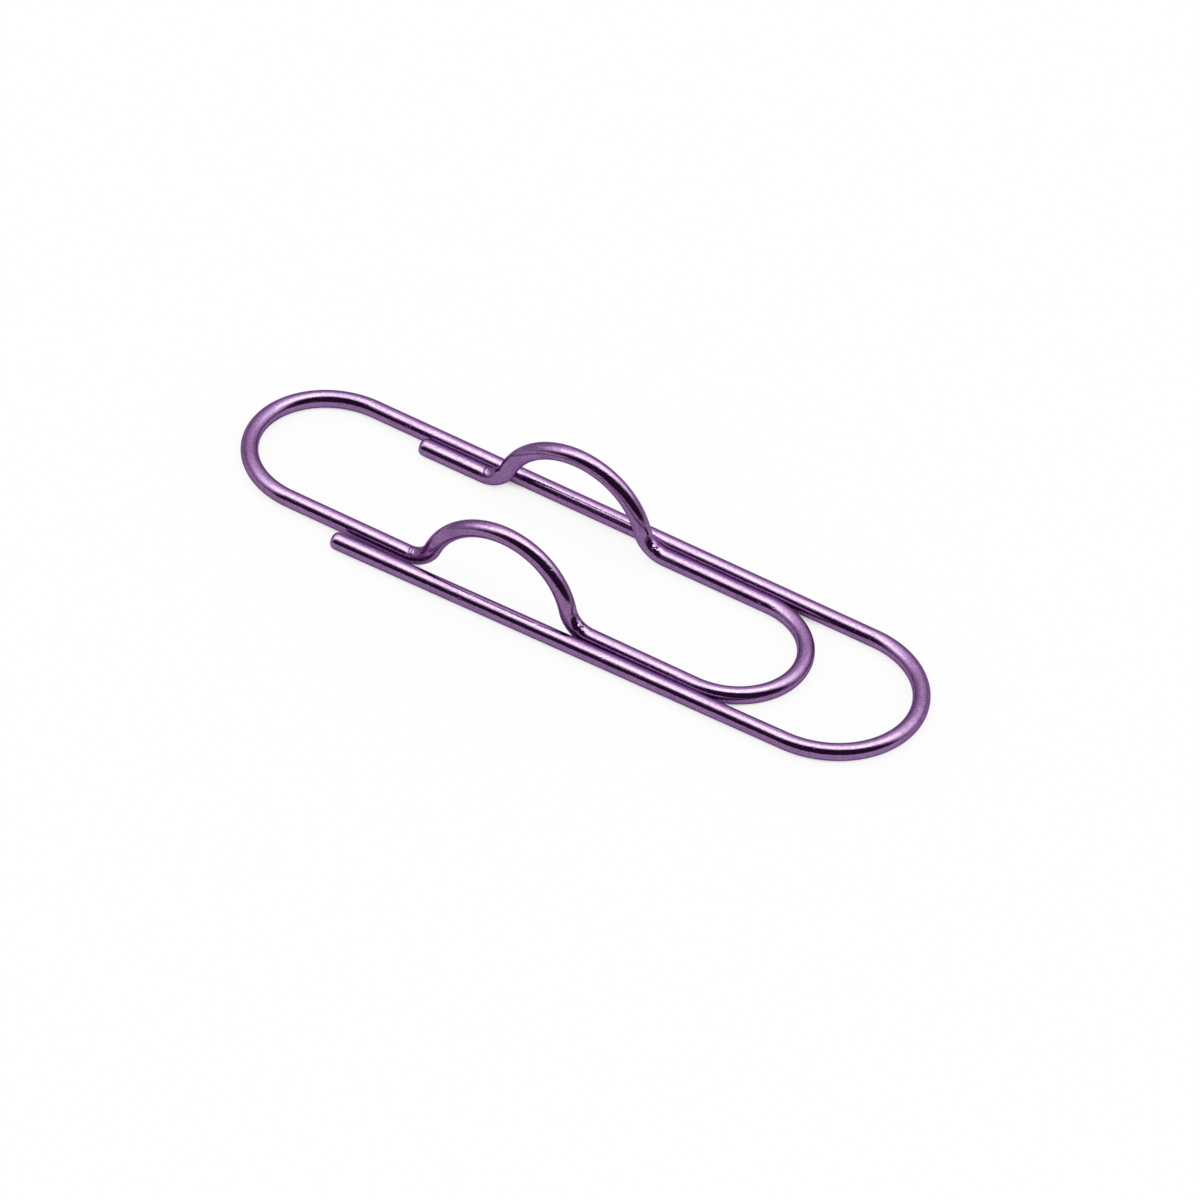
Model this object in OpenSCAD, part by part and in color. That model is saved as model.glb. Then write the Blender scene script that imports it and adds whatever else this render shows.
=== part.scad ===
// A large pen-holder paper clip, bent from one round wire.
// The wire starts at the free end of the near outer leg, runs round the front bend, back along the
// far outer leg and round the back bend. From there it is the tongue: along its near side, round the
// tongue bend and along its far side to the other free end. Each side of the tongue rises into an
// arch, and a pen lies crosswise under the two arches.
// The solids are the stretches of the wire between one tool of the bender and the next. Each ends
// square to its centreline, face to face with the next one.
// X runs along the clip with the paper's mouth at +X, Y across it with the near side at -Y, and Z up
// from the desk that it lies on. The origin is under the middle of the clip.

/* [Wire] */
// Diameter of the wire
wire_d = 1.63; // [1.3:0.01:1.8]
// Radius of the rounded edge at the two cut ends
tip_round = 0.4; // [0.1:0.05:0.6]

/* [Overall size] */
// Length over the front and back bends
clip_length = 70.1; // [66:0.1:80]
// Width over the far outer leg and the free end of the near one
clip_width = 19.05; // [16:0.05:23]

/* [Outer loop] */
// Distance from the back of the clip to the free end of the near outer leg
outer_end_set = 14.35; // [8:0.05:20]
// Angle that the near outer leg springs outwards by
splay = 1; // [0:0.1:1.5]

/* [Tongue] */
// Depth of the paper's mouth, from the front of the clip to the front of the tongue
mouth_depth = 11.7; // [9:0.1:14]
// Distance from the back of the clip to the free end of the tongue
tongue_end_set = 14.25; // [11:0.05:18]
// Gap between the tongue and the far outer leg
far_gap = 0.12; // [0.05:0.01:0.5]
// Gap between the tongue bend and the near outer leg, where they come closest
near_gap = 0.09; // [0.05:0.01:0.5]

/* [Pen arches] */
// Distance from the back of the clip to the middle of the arches
arch_set = 30.4; // [29:0.1:34]
// Length of leg that an arch stands on, from where one foot leaves it to where the other returns
arch_span = 19.2; // [17:0.1:20.5]
// Rise of an arch above its leg, measured between centrelines
arch_rise = 6.95; // [5:0.05:8]
// Inside radius of the bends at the feet of an arch
foot_radius = 1.85; // [1:0.05:2.5]
// Angle that each arch leans in over the tongue by
arch_lean = 1.5; // [0:0.5:6]

/* [Flexing] */
// Gap in the wire where the halves of a bend twist against each other
twist_gap = 0.02; // [0.01:0.01:0.1]

/* [Hidden] */
$fn = 64;
plating = [0.6, 0.43, 0.68];
wire_r = wire_d / 2;

// Ends of the clip and of its pieces, along X, at the centreline where it is a bend
back_apex_x = wire_r - clip_length / 2;
front_apex_x = clip_length / 2 - wire_r;
tongue_apex_x = front_apex_x - mouth_depth;
outer_end_x = outer_end_set - clip_length / 2;
tongue_end_x = tongue_end_set - clip_length / 2;
arch_x = arch_set - clip_length / 2;

// Centrelines of the legs, along Y. The near outer leg starts at -outer_y and closes in by the splay.
outer_y = clip_width / 2 - wire_r;
far_y = outer_y - wire_d - far_gap;

// Radius of a bend that leaves the leg at leg_y, has its apex at apex_x and meets a line beside the
// near outer leg, inset from it. The bend's centre lies at (apex_x - radius, leg_y - radius), and its
// distance from the near outer leg is radius + inset, which gives one linear equation for the radius.
function bend_radius(leg_y, apex_x, inset) =
    ((leg_y + outer_y) * cos(splay) - (apex_x - outer_end_x) * sin(splay) - inset)
    / (1 + cos(splay) - sin(splay));

front_r = bend_radius(outer_y, front_apex_x, 0);
tongue_r = bend_radius(far_y, tongue_apex_x, wire_d + near_gap);
near_y = far_y - 2 * tongue_r;
back_r = (outer_y - near_y) / 2;

front_centre = [front_apex_x - front_r, outer_y - front_r, wire_r];
back_centre = [back_apex_x + back_r, near_y + back_r, wire_r];
tongue_centre = [tongue_apex_x - tongue_r, far_y - tongue_r, wire_r];

// The near outer leg ends where the front bend touches it
near_leg_length = (front_centre.x + front_r * sin(splay) - outer_end_x) / cos(splay);

// An arch: a crown arc that passes into a foot arc of the opposite sense at each end. The three
// centres and the two ends fix the sum of the radii, and the arcs meet at turn from the vertical.
half_span = arch_span / 2;
foot_r = foot_radius + wire_r;
crown_r = (half_span ^ 2 + arch_rise ^ 2) / (2 * arch_rise) - foot_r;
turn = asin(half_span / (crown_r + foot_r));

// The wire's developed length, which is what the bender cuts off the coil
function arc_length(radius, angle) = radius * angle * PI / 180;
arch_length = arc_length(crown_r, 2 * turn) + 2 * arc_length(foot_r, turn);
wire_length = near_leg_length + arc_length(front_r, 180 - splay) + front_centre.x - back_centre.x
    + arc_length(back_r, 180) + tongue_centre.x - back_centre.x - arch_span + arch_length
    + arc_length(tongue_r, 180) + tongue_centre.x - tongue_end_x - arch_span + arch_length;
echo(wire_length = wire_length);

// A straight run of wire along +X from the origin
module straight(length) {
    rotate([0, 90, 0])
        cylinder(h = length, r = wire_r);
}

// A straight run along +X that starts at a cut end with a rounded edge
module ended_straight(length) {
    rotate([0, 90, 0])
        rotate_extrude()
            intersection() {
                square([wire_r, length]);
                union() {
                    square([wire_r - tip_round, length]);
                    translate([0, tip_round])
                        square([wire_r, length]);
                    translate([wire_r - tip_round, tip_round])
                        circle(r = tip_round);
                }
            }
}

// Wire bent round the origin in the XY plane, between two angles from +X
module bend(radius, from, to) {
    rotate([0, 0, from])
        rotate_extrude(angle = to - from)
            translate([radius, 0])
                circle(r = wire_r);
}

// Half of a bend, parted from the other half by half the twist gap at the apex, which is at apex_at
module half_bend(centre, radius, apex_at, away_to) {
    parting = sign(away_to - apex_at) * asin(twist_gap / 2 / radius);
    translate(centre)
        bend(radius, min(apex_at + parting, away_to), max(apex_at + parting, away_to));
}

// A straight run of the tongue at leg_y, from one X to another
module tongue_run(leg_y, from_x, to_x) {
    translate([from_x, leg_y, wire_r])
        straight(to_x - from_x);
}

// Stands an arch's bends, drawn in XY round the middle of its span, up on the leg at leg_y
module stand_arch(leg_y) {
    lean = leg_y < tongue_centre.y ? -arch_lean : arch_lean;
    translate([arch_x, leg_y, wire_r])
        rotate([90 + lean, 0, 0])
            children();
}

module arch_crown(leg_y) {
    stand_arch(leg_y)
        translate([0, arch_rise - crown_r, 0])
            bend(crown_r, 90 - turn, 90 + turn);
}

module arch_rear_foot(leg_y) {
    stand_arch(leg_y)
        translate([-half_span, foot_r, 0])
            bend(foot_r, -90, turn - 90);
}

module arch_front_foot(leg_y) {
    stand_arch(leg_y)
        translate([half_span, foot_r, 0])
            bend(foot_r, -90 - turn, -90);
}

// Outer loop

module near_outer_leg() {
    color(plating)
        translate([outer_end_x, -outer_y, wire_r])
            rotate([0, 0, splay])
                ended_straight(near_leg_length);
}

module front_bend_near_half() {
    color(plating)
        half_bend(front_centre, front_r, 0, splay - 90);
}

module front_bend_far_half() {
    color(plating)
        half_bend(front_centre, front_r, 0, 90);
}

module far_outer_leg() {
    color(plating)
        translate([back_centre.x, outer_y, wire_r])
            straight(front_centre.x - back_centre.x);
}

module back_bend_far_half() {
    color(plating)
        half_bend(back_centre, back_r, 180, 90);
}

// Near side of the tongue

module back_bend_near_half() {
    color(plating)
        half_bend(back_centre, back_r, 180, 270);
}

module near_rear_leg() {
    color(plating)
        tongue_run(near_y, back_centre.x, arch_x - half_span);
}

module near_arch_rear_foot() {
    color(plating)
        arch_rear_foot(near_y);
}

module near_arch_crown() {
    color(plating)
        arch_crown(near_y);
}

module near_arch_front_foot() {
    color(plating)
        arch_front_foot(near_y);
}

module near_front_leg() {
    color(plating)
        tongue_run(near_y, arch_x + half_span, tongue_centre.x);
}

module tongue_bend_near_half() {
    color(plating)
        half_bend(tongue_centre, tongue_r, 0, -90);
}

// Far side of the tongue

module tongue_bend_far_half() {
    color(plating)
        half_bend(tongue_centre, tongue_r, 0, 90);
}

module far_front_leg() {
    color(plating)
        tongue_run(far_y, arch_x + half_span, tongue_centre.x);
}

module far_arch_front_foot() {
    color(plating)
        arch_front_foot(far_y);
}

module far_arch_crown() {
    color(plating)
        arch_crown(far_y);
}

module far_arch_rear_foot() {
    color(plating)
        arch_rear_foot(far_y);
}

module far_rear_leg() {
    color(plating)
        translate([tongue_end_x, far_y, wire_r])
            ended_straight(arch_x - half_span - tongue_end_x);
}

near_outer_leg();
front_bend_near_half();
front_bend_far_half();
far_outer_leg();
back_bend_far_half();
back_bend_near_half();
near_rear_leg();
near_arch_rear_foot();
near_arch_crown();
near_arch_front_foot();
near_front_leg();
tongue_bend_near_half();
tongue_bend_far_half();
far_front_leg();
far_arch_front_foot();
far_arch_crown();
far_arch_rear_foot();
far_rear_leg();
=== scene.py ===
import math

import bpy
import numpy as np
from mathutils import Matrix


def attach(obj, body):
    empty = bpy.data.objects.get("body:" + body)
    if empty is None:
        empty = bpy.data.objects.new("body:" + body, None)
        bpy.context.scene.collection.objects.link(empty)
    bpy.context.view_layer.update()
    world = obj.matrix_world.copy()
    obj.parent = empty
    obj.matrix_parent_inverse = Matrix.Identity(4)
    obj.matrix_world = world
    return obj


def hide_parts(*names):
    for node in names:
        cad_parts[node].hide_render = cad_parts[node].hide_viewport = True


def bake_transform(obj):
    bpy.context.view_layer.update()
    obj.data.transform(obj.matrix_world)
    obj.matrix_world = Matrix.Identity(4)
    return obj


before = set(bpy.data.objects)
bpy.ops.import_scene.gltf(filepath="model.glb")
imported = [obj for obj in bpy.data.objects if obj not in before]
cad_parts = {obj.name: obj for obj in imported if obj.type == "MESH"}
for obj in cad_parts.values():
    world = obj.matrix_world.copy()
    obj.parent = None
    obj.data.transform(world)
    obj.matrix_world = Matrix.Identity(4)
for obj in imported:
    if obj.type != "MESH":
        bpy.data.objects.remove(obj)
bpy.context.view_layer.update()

# The camera: it looks down on the near front of the clip from a metre and a half away, turned a
# little about its own line of sight, and takes in 108 mm of table.
CAMERA_DISTANCE = 1.5
LENS = 500.08
AZIMUTH = 26.121
ELEVATION = 41.673
ROLL = 6.685
AIM_RIGHT = 0.0019264
AIM_UP = -0.0020529
AIM_HEIGHT = 0.000815
scene = bpy.context.scene
azimuth, elevation, roll = np.radians([AZIMUTH, ELEVATION, ROLL])
sideways = np.array([math.cos(azimuth), math.sin(azimuth), 0])
towards = np.array([
    math.sin(azimuth) * math.cos(elevation),
    -math.cos(azimuth) * math.cos(elevation),
    math.sin(elevation),
])
upright = np.cross(towards, sideways)
picture_right = math.cos(roll) * sideways + math.sin(roll) * upright
picture_up = math.cos(roll) * upright - math.sin(roll) * sideways
aim = AIM_RIGHT * picture_right + AIM_UP * picture_up + [0, 0, AIM_HEIGHT]
station = aim + CAMERA_DISTANCE * towards

camera = bpy.data.objects.new("camera", bpy.data.cameras.new("camera"))
scene.collection.objects.link(camera)
scene.camera = camera
camera.matrix_world = Matrix([*zip(picture_right, picture_up, towards, station), (0, 0, 0, 1)])
camera.data.sensor_width = 36
camera.data.lens = LENS
camera.data.clip_end = 20

# The table: a white sheet that the clip lies on, wide enough to run out of every view. It shows as
# plain white with a trace of the wire's soft shadow. Between two wires that lie close together it
# is dark, and darker still in their reflections.
TABLE_HALF = 1.5
TABLE_DROP = 0.00001
CREVICE = 0.002
PLAIN_SEEN = 0.9
PLAIN_REFLECTED = 0.75


class Shade:
    """A socket of a shader node. Arithmetic on it adds Math nodes, and node() adds any other."""

    def __init__(self, tree, socket=None):
        self.tree = tree
        self.socket = socket

    def node(self, kind, settings, inputs, output=0):
        """Adds a node: its settings are set first, then each named input gets a value or link."""
        made = self.tree.nodes.new(kind)
        for name, value in settings.items():
            if name == "stops":
                elements = made.color_ramp.elements
                while len(elements) < len(value):
                    elements.new(0)
                for element, (place, level) in zip(elements, value):
                    element.position = place
                    element.color = (level, level, level, 1)
            else:
                setattr(made, name, value)
        for name, value in inputs.items():
            socket = next(s for s in made.inputs if name in (s.identifier, s.name))
            if isinstance(value, Shade):
                self.tree.links.new(value.socket, socket)
            else:
                socket.default_value = value
        found = [s for n, s in enumerate(made.outputs) if output in (n, s.identifier)]
        return Shade(self.tree, found[0] if found else None)

    def math(self, operation, *values):
        places = ("Value", "Value_001", "Value_002")
        return self.node("ShaderNodeMath", {"operation": operation}, dict(zip(places, values)))

    def __add__(self, other):
        return self.math("ADD", self, other)

    def __sub__(self, other):
        return self.math("SUBTRACT", self, other)

    def __rsub__(self, other):
        return self.math("SUBTRACT", other, self)

    def __mul__(self, other):
        return self.math("MULTIPLY", self, other)

    __radd__ = __add__
    __rmul__ = __mul__

    def rise(self, low, high):
        """0 below low, 1 above high, and a smooth step in between."""
        settings = {"interpolation_type": "SMOOTHSTEP"}
        inputs = {"Value": self, "From Min": low, "From Max": high}
        return self.node("ShaderNodeMapRange", settings, inputs)


def material(name):
    """An empty node material, and a Shade to build it with."""
    made = bpy.data.materials.new(name)
    made.use_nodes = True
    made.node_tree.nodes.clear()
    return made, Shade(made.node_tree)


table_mesh = bpy.data.meshes.new("table")
signs = ((-1, -1), (1, -1), (1, 1), (-1, 1))
corners = [(x * TABLE_HALF, y * TABLE_HALF, -TABLE_DROP) for x, y in signs]
table_mesh.from_pydata(corners, [], [(0, 1, 2, 3)])
table = bpy.data.objects.new("table", table_mesh)
scene.collection.objects.link(table)

table_white, shade = material("table_white")
table_mesh.materials.append(table_white)
camera_ray, glossy_ray, transmission_ray = (
    shade.node("ShaderNodeLightPath", {}, {}, f"Is {kind} Ray")
    for kind in ("Camera", "Glossy", "Transmission")
)
lit = shade.node("ShaderNodeBsdfDiffuse", {}, {"Color": (0.96, 0.96, 0.96, 1)})
plain = shade.node("ShaderNodeEmission", {}, {"Color": (1, 1, 1, 1), "Strength": 1})


def partly_plain(samples, low, high, share):
    """The lit sheet with a share of plain white, none where the openness overhead is under low."""
    settings = {"samples": samples}
    openness = shade.node("ShaderNodeAmbientOcclusion", settings, {"Distance": CREVICE}, "AO")
    inputs = {"Fac": openness.rise(low, high) * share, "Shader": lit, "Shader_001": plain}
    return shade.node("ShaderNodeMixShader", {}, inputs)


reflected = partly_plain(
    samples=12, low=0.3, high=0.6, share=(glossy_ray + transmission_ray) * PLAIN_REFLECTED
)
seen = partly_plain(samples=4, low=0.05, high=0.3, share=PLAIN_SEEN)
surface = shade.node(
    "ShaderNodeMixShader", {}, {"Fac": camera_ray, "Shader": reflected, "Shader_001": seen}
)
shade.node("ShaderNodeOutputMaterial", {}, {"Surface": surface})

# The light: a tent of white cloth lit from outside by slightly green lamps, overhead and behind
# each side, with a deep violet opening where the camera looks in. Only the glossy wire shows that
# pattern; everything else gets the plain even light of white cloth.
OPENING_AZIMUTH = math.radians(34)
OPENING_COLOUR = (0.048, 0.022, 0.05, 1)
OPENING_WIDTH = 0.955
OPENING_HEIGHT = 0.94
OPENING_EDGE = (0.92, 1.13)
LAMP_LEFT = (math.radians(-58), math.radians(47), 3.9, 18)
LAMP_RIGHT = (math.radians(132), math.radians(48), 2.75, 11)
LAMP_COLOUR = (0.75, 1, 0.68, 1)
LAMP_LEVELS = (1.1, 4.2)
CLOTH_COLOUR = (1, 1, 1, 1)
CLOTH_TOP = 6.0
CLOTH = [
    (0.0, 0.55), (0.26, 0.61), (0.42, 0.73), (0.574, 1.09), (0.707, 1.46), (0.82, 2.33),
    (0.906, 4.5), (0.966, 5.7), (1.0, 6.0),
]

tent = bpy.data.worlds.new("light_tent")
scene.world = tent
tent.use_nodes = True
tent.node_tree.nodes.clear()
shade = Shade(tent.node_tree)
direction = shade.node("ShaderNodeTexCoord", {}, {}, "Generated")


def along(axis):
    """How far the direction that is looked in goes along an axis."""
    inputs = {"Vector": direction, "Vector_001": axis}
    return shade.node("ShaderNodeVectorMath", {"operation": "DOT_PRODUCT"}, inputs, "Value")


height = along((0, 0, 1))
forward = along((math.sin(OPENING_AZIMUTH), -math.cos(OPENING_AZIMUTH), 0))
across = along((math.cos(OPENING_AZIMUTH), math.sin(OPENING_AZIMUTH), 0)) * (1 / OPENING_WIDTH)
raised = height * (1 / OPENING_HEIGHT)
outside = (across * across + raised * raised).rise(*OPENING_EDGE)
opening = (1 - outside) * forward.rise(0, 0.1)
stops = [(z, level / CLOTH_TOP) for z, level in CLOTH]
cloth = shade.node("ShaderNodeValToRGB", {"stops": stops}, {"Fac": height}) * CLOTH_TOP
for turn, lift, strength, focus in (LAMP_LEFT, LAMP_RIGHT):
    lamp = (math.sin(turn) * math.cos(lift), -math.cos(turn) * math.cos(lift), math.sin(lift))
    facing = shade.math("MAXIMUM", along(lamp), 0)
    cloth = cloth + shade.math("POWER", facing, focus) * strength
glossy_ray = shade.node("ShaderNodeLightPath", {}, {}, "Is Glossy Ray")


def blended(share, colour_a, colour_b):
    """Two colours mixed: (1 - share) * colour_a + share * colour_b."""
    inputs = {"Factor_Float": share, "A_Color": colour_a, "B_Color": colour_b}
    return shade.node("ShaderNodeMix", {"data_type": "RGBA"}, inputs, "Result_Color")


lamplit = blended(glossy_ray * cloth.rise(*LAMP_LEVELS), CLOTH_COLOUR, LAMP_COLOUR)
colour = blended(glossy_ray * opening, lamplit, OPENING_COLOUR)
brightness = 1 + glossy_ray * (1 - opening) * (cloth - 1)
background = shade.node("ShaderNodeBackground", {}, {"Color": colour, "Strength": brightness})
shade.node("ShaderNodeOutputWorld", {}, {"Surface": background})

# The free outer leg: the start of the one steel wire that the whole clip is bent from. It is a
# straight run that springs out by a degree, with its sheared end tumbled round, and the wire was
# coated after bending in clear violet over bright metal.
WIRE_RADIUS = 0.000815
TIP_ROUND = 0.0005
TIP_DOME = [(0.25, 0), (0.5, 0.000001), (0.75, 0.000004), (1, 0.00001)]
SPLAY = math.radians(1)
OUTER_LEG = 0.0467846
OUTER_END = (-0.0207, -0.00871)
OVERLAP = 0.001
RING_GAP = 0.0002
RING_TURN = 0.02
EDGE_RINGS = 9
SIDES = 64

wire_end = {
    "point": np.array([*OUTER_END, WIRE_RADIUS]),
    "frame": np.array([
        [math.cos(SPLAY), math.sin(SPLAY), 0],
        [-math.sin(SPLAY), math.cos(SPLAY), 0],
        [0, 0, 1],
    ]),
    "drawn": 0.0,
}


def bend_wire(*moves):
    """Carries the wire on from its end and returns the rings of the new stretch.

    A move is a feed, a length, or a bend, (radius, angle, tilt). The frame's rows are the heading,
    left and up. On a feed the centre is point + t * heading. In a bend, which curls towards
    inward = cos(tilt) * left + sin(tilt) * up, the centre at angle a is
    point + radius * (sin(a) * heading + (1 - cos(a)) * inward), and the frame turns by a about
    heading x inward.
    """
    stretches = []
    for number, move in enumerate(moves):
        radius, angle, tilt = move if isinstance(move, tuple) else (0, 0, 0)
        length = radius * angle if radius else move
        gap = min(RING_GAP, RING_TURN * radius) if radius else RING_GAP
        t = np.linspace(0, 1, math.ceil(length / gap) + 1)[:, None]
        heading, left, up = wire_end["frame"]
        inward = math.cos(tilt) * left + math.sin(tilt) * up
        axis = np.cross(heading, inward)
        a = t * angle
        headings = np.cos(a) * heading + np.sin(a) * inward
        inwards = np.cos(a) * inward - np.sin(a) * heading
        lefts = math.cos(tilt) * inwards - math.sin(tilt) * axis
        ups = math.sin(tilt) * inwards + math.cos(tilt) * axis
        curved = radius * (np.sin(a) * heading + (1 - np.cos(a)) * inward)
        points = wire_end["point"] + (curved if radius else t * length * heading)
        rows = np.hstack([points, headings, lefts, ups, wire_end["drawn"] + t * length])
        stretches.append(rows if number == len(moves) - 1 else rows[:-1])
        wire_end["point"] = points[-1]
        wire_end["frame"] = np.array([headings[-1], lefts[-1], ups[-1]])
        wire_end["drawn"] += length
    return np.vstack(stretches)


def cut_end(rings, last):
    """Swaps the rings near a cut end for those of its face, a shallow dome, and its rounded edge.

    At angle b round the edge the radius is WIRE_RADIUS - TIP_ROUND * (1 - sin(b)), and the depth
    below the rim of the face is TIP_ROUND * (1 - cos(b)).
    """
    tip = rings[-1 if last else 0]
    inwards = -1 if last else 1
    kept = rings[np.abs(rings[:, 12] - tip[12]) > TIP_ROUND + RING_GAP / 2]
    b = np.linspace(0, math.pi / 2, EDGE_RINGS + 1)[1:]
    share, drop = np.array(TIP_DOME).T
    depth = np.concatenate([drop, drop[-1] + TIP_ROUND * (1 - np.cos(b))])
    face = WIRE_RADIUS - TIP_ROUND
    radius = np.concatenate([face * share, face + TIP_ROUND * np.sin(b)])
    cap = np.repeat(tip[None], len(depth), 0)
    cap[:, 0:3] += inwards * depth[:, None] * tip[3:6]
    cap[:, 12] += inwards * depth
    radii = np.full(len(kept), WIRE_RADIUS)
    if last:
        return np.vstack([kept, cap[::-1]]), np.concatenate([radii, radius[::-1]])
    return np.vstack([cap, kept]), np.concatenate([radius, radii])


def wire_piece(name, rings, radii=WIRE_RADIUS, relief=None):
    """A closed tube over the rings, with the place that each point had on the straight drawn wire.

    A point is centre + r * (cos(f) * left + sin(f) * up), where r is the ring's radius, less the
    relief at that point. The place on the drawn wire is (length, r * cos(f), r * sin(f)).
    """
    f = np.linspace(0, 2 * math.pi, SIDES, endpoint=False)
    r = np.broadcast_to(np.reshape(radii, (-1, 1)), (len(rings), SIDES))
    pressed = np.zeros(r.shape) if relief is None else relief(rings[:, 12:13], f)
    r = r - pressed
    y, z = r * np.cos(f), r * np.sin(f)
    around = y[..., None] * rings[:, None, 6:9] + z[..., None] * rings[:, None, 9:12]
    points = (rings[:, None, 0:3] + around).reshape(-1, 3)
    places = np.stack([np.broadcast_to(rings[:, 12:13], y.shape), y, z], 2).reshape(-1, 3)
    count = len(points)
    points = np.vstack([points, rings[[0, -1], 0:3]])
    places = np.vstack([places, [[rings[0, 12], 0, 0], [rings[-1, 12], 0, 0]]])

    row, side = np.arange(len(rings) - 1)[:, None] * SIDES, np.arange(SIDES)
    beside = (side + 1) % SIDES
    quads = np.stack([row + side, row + beside, row + SIDES + beside, row + SIDES + side], 2)
    foot = count - SIDES
    fans = [[count, b, a] for a, b in zip(side, beside)]
    fans += [[count + 1, foot + a, foot + b] for a, b in zip(side, beside)]
    mesh = bpy.data.meshes.new(name)
    mesh.from_pydata(points, [], quads.reshape(-1, 4).tolist() + fans)
    mesh.polygons.foreach_set("use_smooth", np.ones(len(mesh.polygons), bool))
    places = places.ravel()
    pressed = np.append(pressed, [0, 0])
    mesh.attributes.new("drawn", "FLOAT_VECTOR", "POINT").data.foreach_set("vector", places)
    mesh.attributes.new("pressed", "FLOAT", "POINT").data.foreach_set("value", pressed)

    ends = np.zeros(len(mesh.edges) * 2, int)
    mesh.edges.foreach_get("vertices", ends)
    low, high = np.sort(ends.reshape(-1, 2), 1).T
    on_rim = (high < SIDES) | ((low >= foot) & (high < count))
    mesh.attributes.new("sharp_edge", "BOOLEAN", "EDGE").data.foreach_set("value", on_rim)
    piece = bpy.data.objects.new(name, mesh)
    scene.collection.objects.link(piece)
    return piece


DEEP_VIOLET = (0.165, 0.085, 0.2, 1)
PALE_VIOLET = (0.325, 0.179, 0.384, 1)
EDGE_TINT = (0.5, 0.38, 0.56, 1)
PITTING_HEIGHT = 0.007
DIE_LINE_HEIGHT = 0.006
NICK_DEPTH = 0.01
CRUMPLE = 4000
violet, shade = material("violet_plating")
drawn = shade.node("ShaderNodeAttribute", {"attribute_name": "drawn"}, {}, "Vector")


def noise(place, per_mm, detail, stretch=1, roughness=0.5):
    """Noise from 0 to 1 on the drawn wire, stretched along its length."""
    factors = {"Vector": place, "Vector_001": (1 / stretch, 1, 1)}
    scaled = shade.node("ShaderNodeVectorMath", {"operation": "MULTIPLY"}, factors)
    inputs = {"Vector": scaled, "Scale": 1000 * per_mm, "Detail": detail, "Roughness": roughness}
    return shade.node("ShaderNodeTexNoise", {}, inputs, "Fac")


mottle = noise(drawn, 0.4, 3)
grain = noise(drawn, 5, 2, stretch=1.5)
pitting = noise(drawn, 7, 2)
die_lines = noise(drawn, 6, 2, stretch=25)
nicks = noise(drawn, 2, 1).rise(0.7, 0.76)
patches = 0.2 * mottle.rise(0.3, 0.7) + 0.55 * grain.rise(0.25, 0.75)
tint = blended(patches + 0.25 * die_lines.rise(0.35, 0.65), DEEP_VIOLET, PALE_VIOLET)
pressed = shade.node("ShaderNodeAttribute", {"attribute_name": "pressed"}, {}, "Fac")
crumpled = noise(drawn, 2.5, 1) * pressed * CRUMPLE
height_mm = pitting * PITTING_HEIGHT + die_lines * DIE_LINE_HEIGHT - nicks * NICK_DEPTH + crumpled
bumps = shade.node("ShaderNodeBump", {}, {"Height": height_mm, "Distance": 0.001, "Strength": 1})
plated = shade.node(
    "ShaderNodeBsdfPrincipled",
    {},
    {
        "Base Color": tint,
        "Metallic": 1,
        "Roughness": 0.1 + 0.06 * mottle,
        "Normal": bumps,
        "Specular Tint": EDGE_TINT,
    },
)
shade.node("ShaderNodeOutputMaterial", {}, {"Surface": plated})

rings, radii = cut_end(bend_wire(OUTER_LEG - OVERLAP), False)
outer_leg = wire_piece("near_outer_leg_wire", rings, radii)
outer_leg.data.materials.append(violet)
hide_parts("near_outer_leg")
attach(outer_leg, "outer_arm")

# The front bend: the wire turned back on itself by 179 degrees round a former. It is a fixed
# piece that stays where it lies when the outer leg is lifted off the paper.
FRONT_RADIUS = 0.00830238
front_bend = wire_piece(
    "front_bend_wire", bend_wire(OVERLAP, (FRONT_RADIUS, math.pi - SPLAY, 0), OVERLAP)
)
front_bend.data.materials.append(violet)
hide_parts("front_bend_near_half", "front_bend_far_half")
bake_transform(front_bend)

# The long outer leg: the straight run that joins the front bend to the back bend.
LONG_LEG = 0.05263751
long_leg = wire_piece("far_outer_leg_wire", bend_wire(LONG_LEG - 2 * OVERLAP))
long_leg.data.materials.append(violet)
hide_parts("far_outer_leg")
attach(long_leg, "outer_loop")

# The back bend: a half turn that leads from the outer loop into the tongue. It is a fixed piece
# that stays where it lies when paper pushes the tongue up.
BACK_RADIUS = 0.00753011
back_bend = wire_piece("back_bend_wire", bend_wire(OVERLAP, (BACK_RADIUS, math.pi, 0), OVERLAP))
back_bend.data.materials.append(violet)
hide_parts("back_bend_far_half", "back_bend_near_half")
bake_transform(back_bend)

# The near side of the tongue: two short legs with a pen arch between them. The arch is bent up
# round a mandrel, and leans in over the tongue by a degree and a half.
ARCH_HALF = 0.0096
ARCH_RISE = 0.00695
FOOT_RADIUS = 0.002665
CROWN_RADIUS = (ARCH_HALF**2 + ARCH_RISE**2) / (2 * ARCH_RISE) - FOOT_RADIUS
ARCH_TURN = math.asin(ARCH_HALF / (CROWN_RADIUS + FOOT_RADIUS))
ARCH_TILT = math.radians(88.5)
REAR_LEG = 0.01245489
FRONT_LEG = 0.01092989
arch_bends = [
    (FOOT_RADIUS, ARCH_TURN, ARCH_TILT),
    (CROWN_RADIUS, 2 * ARCH_TURN, ARCH_TILT + math.pi),
    (FOOT_RADIUS, ARCH_TURN, ARCH_TILT),
]


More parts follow.
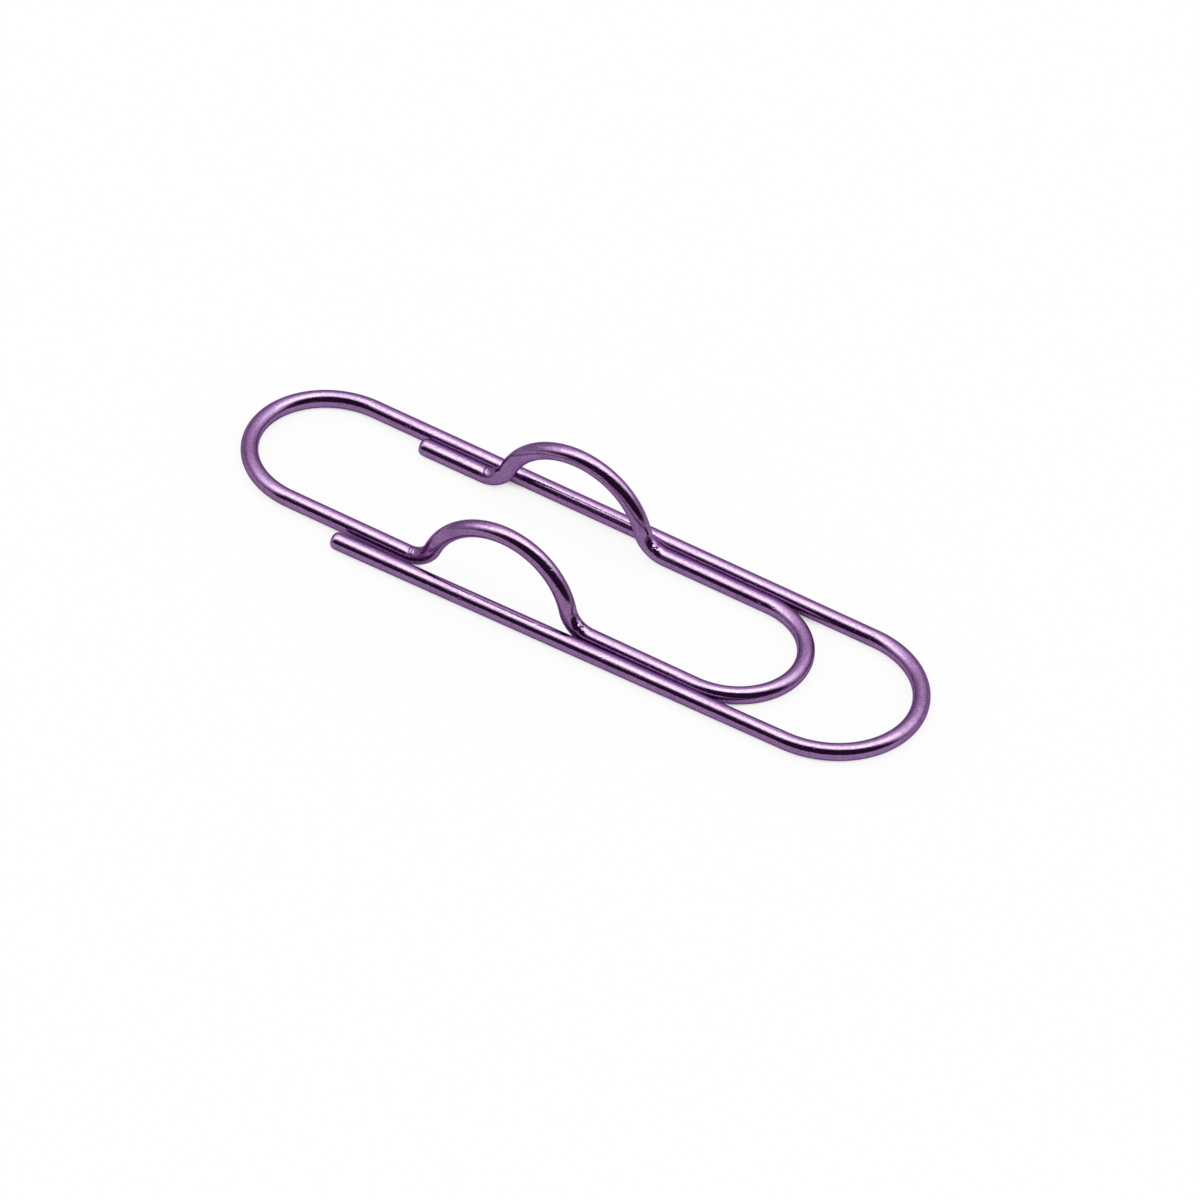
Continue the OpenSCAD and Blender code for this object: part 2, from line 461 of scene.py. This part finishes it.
def tool_marks(*marks):
    """The relief of dents where the bender's pins pressed.

    It is the sum of depth * exp(-((s - s0) / long)**2 - ((f - f0) / wide)**2), where s is the
    length along the wire and f the angle round it.
    """

    def relief(s, f):
        return sum(
            depth * np.exp(-(((s - s0) / long) ** 2) - ((f - f0) / wide) ** 2)
            for s0, f0, depth, long, wide in marks
        )

    return relief


arch_start = wire_end["drawn"] + REAR_LEG - OVERLAP
rings = bend_wire(REAR_LEG - OVERLAP, *arch_bends, FRONT_LEG - OVERLAP)
arch_end = wire_end["drawn"] - FRONT_LEG + OVERLAP
near_side = wire_piece(
    "near_arch_wire",
    rings,
    relief=tool_marks(
        (arch_start + 0.0006, 1.9, 0.00004, 0.00012, 0.6),
        (arch_start + 0.0009, 1.9, 0.00005, 0.00015, 0.6),
        (arch_end - 0.0013, 1.9, 0.00008, 0.0004, 0.6),
    ),
)
near_side.data.materials.append(violet)
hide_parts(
    "near_rear_leg",
    "near_arch_rear_foot",
    "near_arch_crown",
    "near_arch_front_foot",
    "near_front_leg",
)
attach(near_side, "tongue")

# The tongue bend: the half turn at the front of the tongue, under which the paper goes in.
TONGUE_RADIUS = 0.00665511
tongue_bend = wire_piece(
    "tongue_bend_wire", bend_wire(OVERLAP, (TONGUE_RADIUS, math.pi, 0), OVERLAP)
)
tongue_bend.data.materials.append(violet)
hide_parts("tongue_bend_near_half", "tongue_bend_far_half")
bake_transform(tongue_bend)

# The far side of the tongue: the second pen arch, and the short free end of the wire behind it.
FREE_LEG = 0.00655
arch_start = wire_end["drawn"] + FRONT_LEG - OVERLAP
rings, radii = cut_end(bend_wire(FRONT_LEG - OVERLAP, *arch_bends, FREE_LEG), True)
arch_end = wire_end["drawn"] - FREE_LEG
far_side = wire_piece(
    "far_arch_wire",
    rings,
    radii,
    tool_marks(
        (arch_start + 0.0013, 1.25, 0.00008, 0.0004, 0.6),
        (arch_end - 0.0005, 1.25, 0.00005, 0.00015, 0.6),
    ),
)
far_side.data.materials.append(violet)
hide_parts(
    "far_front_leg",
    "far_arch_front_foot",
    "far_arch_crown",
    "far_arch_rear_foot",
    "far_rear_leg",
)
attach(far_side, "tongue_arm")

scene.view_settings.view_transform = "Standard"
